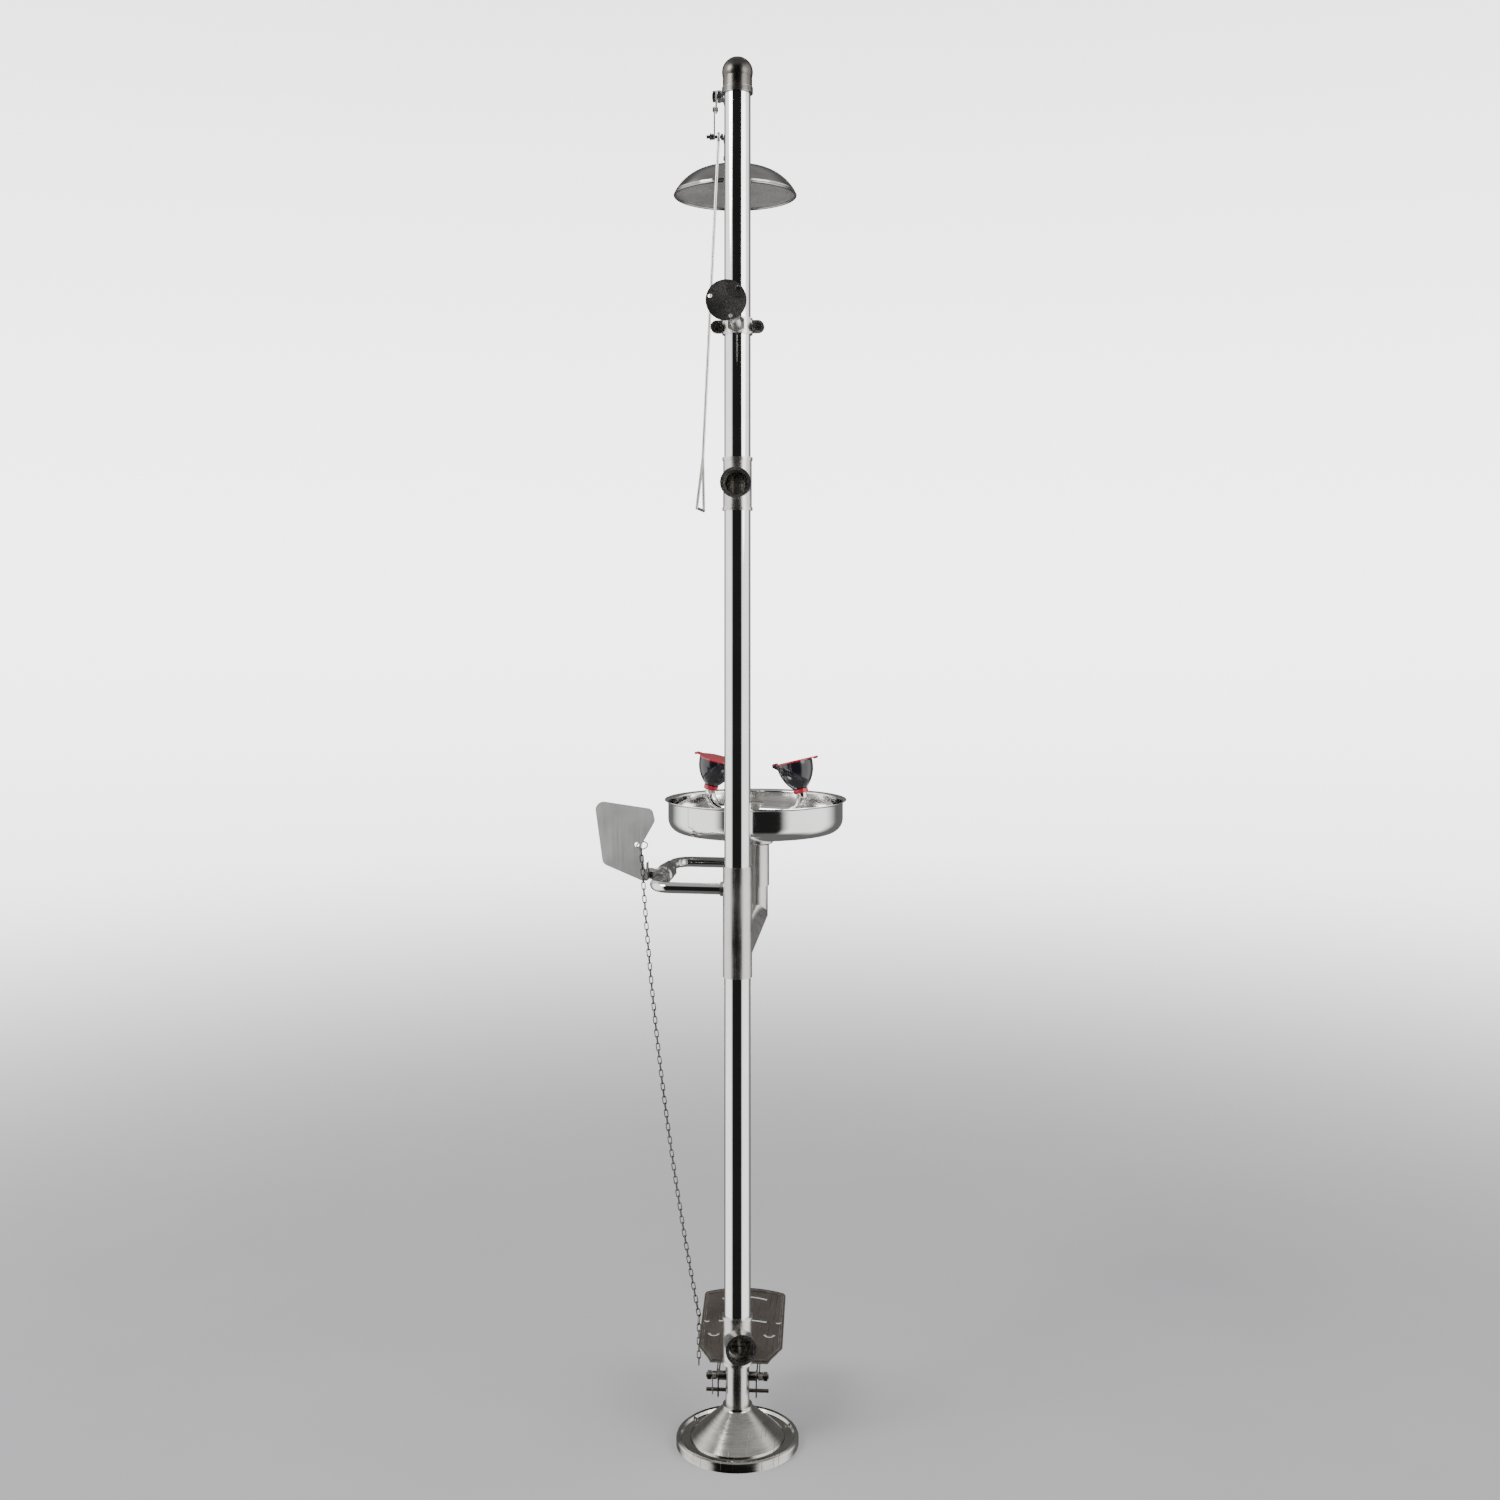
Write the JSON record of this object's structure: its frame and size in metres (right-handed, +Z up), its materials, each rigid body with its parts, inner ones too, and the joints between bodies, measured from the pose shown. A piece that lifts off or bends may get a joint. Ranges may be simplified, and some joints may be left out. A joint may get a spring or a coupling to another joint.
{
  "type": "emergency safety shower",
  "caption": "Pedestal emergency shower with overhead head and pull rod, eyewash bowl with capped nozzles, push paddle, chain and foot treadle, and a wall brace.",
  "frame": {"origin": "centre of the floor flange's bolt circle, at floor level on the column's axis", "axes": "+Z up the column, +Y towards the user's side where the bowl and the shower head are, +X to the right as seen from behind the column; the push paddle is on the -X side"},
  "size_m": [0.4095, 0.7745, 2.216],
  "materials": {
    "polished_pipe": "mirror-polished stainless tube",
    "polished_bowl": "mirror-polished spun stainless sheet",
    "brushed_steel": "brushed stainless",
    "cast_fitting": "satin cast stainless",
    "elbow_steel": "dark satin cast stainless",
    "valve_steel": "cast and turned stainless",
    "base_steel": "brushed stainless, scratched",
    "lever_steel": "matt stainless sheet",
    "treadle_steel": "dark stamped stainless sheet",
    "fastener_steel": "stainless fasteners",
    "chain_steel": "stainless link chain",
    "face_steel": "pierced stainless plate",
    "head_steel": "polished spun stainless sheet",
    "black_plastic": "glossy moulded plastic",
    "screen_plastic": "moulded plastic",
    "red_plastic": "glossy moulded plastic",
    "seal_rubber": "rubber ring",
    "seat_plastic": "fluoropolymer seats",
    "disc_steel": "plain stainless discs"
  },
  "bodies": {
    "frame": {"base_flange": "base_steel", "base_spool": "brushed_steel", "blanking_discs": "disc_steel", "drain_tee": "cast_fitting", "inlet_tee": "cast_fitting", "lower_column": "polished_pipe", "middle_column": "polished_pipe", "upper_column": "polished_pipe", "port_sleeve": "brushed_steel", "top_elbow": "elbow_steel", "arm_nipples": "polished_pipe", "shower_arm": "polished_pipe", "arm_elbow": "cast_fitting", "shower_dome": "head_steel", "shower_face": "face_steel", "shower_valve_body": "valve_steel", "riser_pipe": "brushed_steel", "drain_pipe": "brushed_steel", "pedestal_sleeve": "brushed_steel", "bowl_tailpiece": "brushed_steel", "bowl_nut": "cast_fitting", "bowl_gasket": "seal_rubber", "eyewash_bowl": "polished_bowl", "bowl_strainer": "brushed_steel", "eyewash_riser": "polished_pipe", "nozzle_manifold": "cast_fitting", "supply_pipes": "polished_pipe", "union_nuts": "cast_fitting", "eyewash_valve_body": "valve_steel", "valve_seats": "seat_plastic", "packing_nuts": "valve_steel", "goosenecks": "polished_pipe", "nozzle_collars": "red_plastic", "nozzle_cups": "black_plastic", "nozzle_screens": "screen_plastic", "cap_hinge_pins": "fastener_steel", "treadle_studs": "fastener_steel", "clamp_halves": "cast_fitting", "clamp_fasteners": "fastener_steel", "brace_rod": "cast_fitting"},
    "shower_lever": {"shower_ball": "valve_steel", "shower_stem": "valve_steel", "shower_lever": "lever_steel", "shower_lever_nut": "fastener_steel"},
    "pull_rod": {"pull_link": "brushed_steel", "pull_fasteners": "fastener_steel", "pull_rod": "brushed_steel"},
    "push_paddle": {"eyewash_ball": "valve_steel", "eyewash_stem": "valve_steel", "push_paddle": "lever_steel", "paddle_nut": "fastener_steel"},
    "chain": {"chain": "chain_steel"},
    "treadle": {"treadle": "treadle_steel", "treadle_springs": "fastener_steel"},
    "cap_left": {"cap_left": "red_plastic"},
    "cap_right": {"cap_right": "red_plastic"},
    "wall_brace": {"brace_lock_nut": "cast_fitting", "brace_tube": "cast_fitting", "wall_flange": "cast_fitting"}
  },
  "joints": [
    {"name": "shower_lever_turn", "type": "hinge", "parent": "frame", "child": "shower_lever", "pos_m": [-0.05548, 0.12252, 2.191], "axis": [-0.9863, -0.165, 0], "range_deg": [0, 90]},
    {"name": "pull_rod_swing", "type": "hinge", "parent": "shower_lever", "child": "pull_rod", "pos_m": [-0.06786, 0.19649, 2.191], "axis": [-0.9863, -0.165, 0], "range_deg": [-90, 0]},
    {"name": "treadle_press", "type": "hinge", "parent": "frame", "child": "treadle", "pos_m": [0, 0, 0.106], "axis": [-0.9969, -0.0785, 0], "range_deg": [0, 30], "stiffness_Nm_per_rad": 1.6, "springref_deg": -40.11},
    {"name": "paddle_push", "type": "hinge", "parent": "frame", "child": "push_paddle", "pos_m": [-0.139, 0.1, 0.8895], "axis": [1, 0, 0], "range_deg": [0, 90]},
    {"name": "chain_swing", "type": "hinge", "parent": "push_paddle", "child": "chain", "pos_m": [-0.183, 0.08525, 0.9383], "axis": [1, 0, 0], "range_deg": [-90, 0]},
    {"name": "cap_left_flip", "type": "hinge", "parent": "frame", "child": "cap_left", "pos_m": [-0.03496, 0.20807, 1.06423], "axis": [0.225, 0.9744, 0], "range_deg": [0, 100]},
    {"name": "cap_right_flip", "type": "hinge", "parent": "frame", "child": "cap_right", "pos_m": [0.03496, 0.19193, 1.06423], "axis": [-0.225, -0.9744, 0], "range_deg": [0, 100]},
    {"name": "brace_slide", "type": "slide", "parent": "frame", "child": "wall_brace", "axis": [0.0872, -0.9962, 0], "range_m": [-0.02, 0.02]}
  ],
  "couplings": [
    {"joint": "pull_rod_swing", "follows": "shower_lever_turn", "ratio": -1},
    {"joint": "paddle_push", "follows": "treadle_press", "ratio": 3},
    {"joint": "chain_swing", "follows": "treadle_press", "ratio": -2.911}
  ]
}
